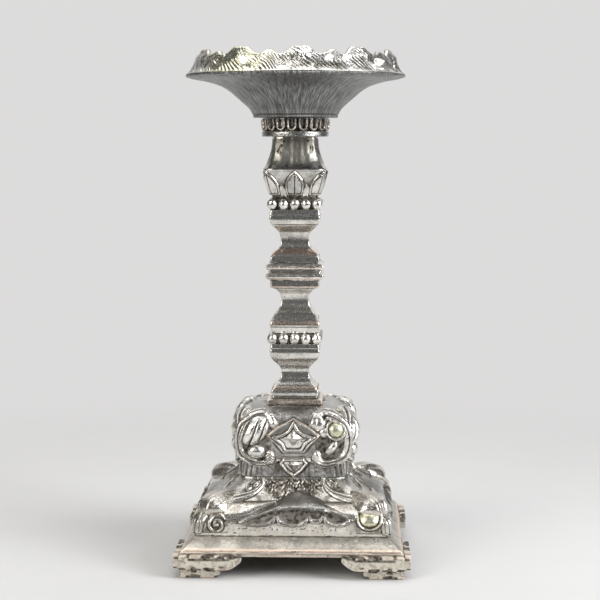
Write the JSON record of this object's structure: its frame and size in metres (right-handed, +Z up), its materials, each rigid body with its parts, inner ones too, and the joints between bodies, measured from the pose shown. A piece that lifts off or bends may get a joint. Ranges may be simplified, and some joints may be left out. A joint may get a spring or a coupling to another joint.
{
  "type": "altar candlestick",
  "caption": "Square baluster altar candlestick with a stepped scroll-work base, beaded and leafed stem, and a round drip pan with a lobed crown and pricket.",
  "frame": {"origin": "on the surface the feet stand on, under the middle of the base", "axes": "+Z up along the tie rod, -Y out of the front face of the square base, +X to the right seen from the front"},
  "size_m": [0.1174, 0.1174, 0.26],
  "materials": {
    "silvered_casting": "bright silver plating over cast white metal, tarnished dark in the hollows",
    "worn_casting": "silver plating rubbed to a warm grey, coppery on the edges, with dark grime in the joints",
    "dull_pan": "dull grey metal with fine lines running out from the middle",
    "steel_hardware": "plain zinc-plated steel"
  },
  "bodies": {
    "stand": {"foot_front_left": "worn_casting", "foot_front_right": "worn_casting", "foot_rear_right": "worn_casting", "foot_rear_left": "worn_casting", "plinth_frame": "worn_casting", "dome_shell": "silvered_casting", "corner_volute_front_left": "silvered_casting", "corner_volute_front_right": "silvered_casting", "corner_volute_rear_right": "silvered_casting", "corner_volute_rear_left": "silvered_casting", "drape_fan_front": "silvered_casting", "drape_fan_right": "silvered_casting", "drape_fan_rear": "silvered_casting", "drape_fan_left": "silvered_casting", "bulb_shell": "silvered_casting", "corner_scroll_front_left": "silvered_casting", "corner_scroll_front_right": "silvered_casting", "corner_scroll_rear_right": "silvered_casting", "corner_scroll_rear_left": "silvered_casting", "star_rosette_front": "silvered_casting", "star_rosette_right": "silvered_casting", "star_rosette_rear": "silvered_casting", "star_rosette_left": "silvered_casting", "lozenge_drop_front": "silvered_casting", "lozenge_drop_right": "silvered_casting", "lozenge_drop_rear": "silvered_casting", "lozenge_drop_left": "silvered_casting", "stem_foot_block": "worn_casting", "lower_baluster": "worn_casting", "middle_baluster": "worn_casting", "double_torus_block": "worn_casting", "upper_baluster": "worn_casting", "lower_bead_band": "silvered_casting", "upper_bead_band": "silvered_casting", "vase_knop": "silvered_casting", "gallery_ring": "silvered_casting", "clamp_bar": "steel_hardware", "rod_washer": "steel_hardware", "tie_rod": "steel_hardware"},
    "pan": {"drip_pan": "dull_pan", "pan_crown": "silvered_casting"},
    "pricket": {"pricket_spike": "steel_hardware", "pricket_washer": "steel_hardware"},
    "nut": {"wing_nut": "steel_hardware"}
  },
  "joints": [
    {"name": "pan_turn", "type": "hinge", "parent": "stand", "child": "pan", "pos_m": [0, 0, 0.2259], "axis": [0, 0, 1], "continuous": true},
    {"name": "pricket_turn", "type": "hinge", "parent": "stand", "child": "pricket", "pos_m": [0, 0, 0.2301], "axis": [0, 0, 1], "continuous": true},
    {"name": "wing_nut_turn", "type": "hinge", "parent": "stand", "child": "nut", "pos_m": [0, 0, 0.0145], "axis": [0, 0, 1], "continuous": true}
  ]
}
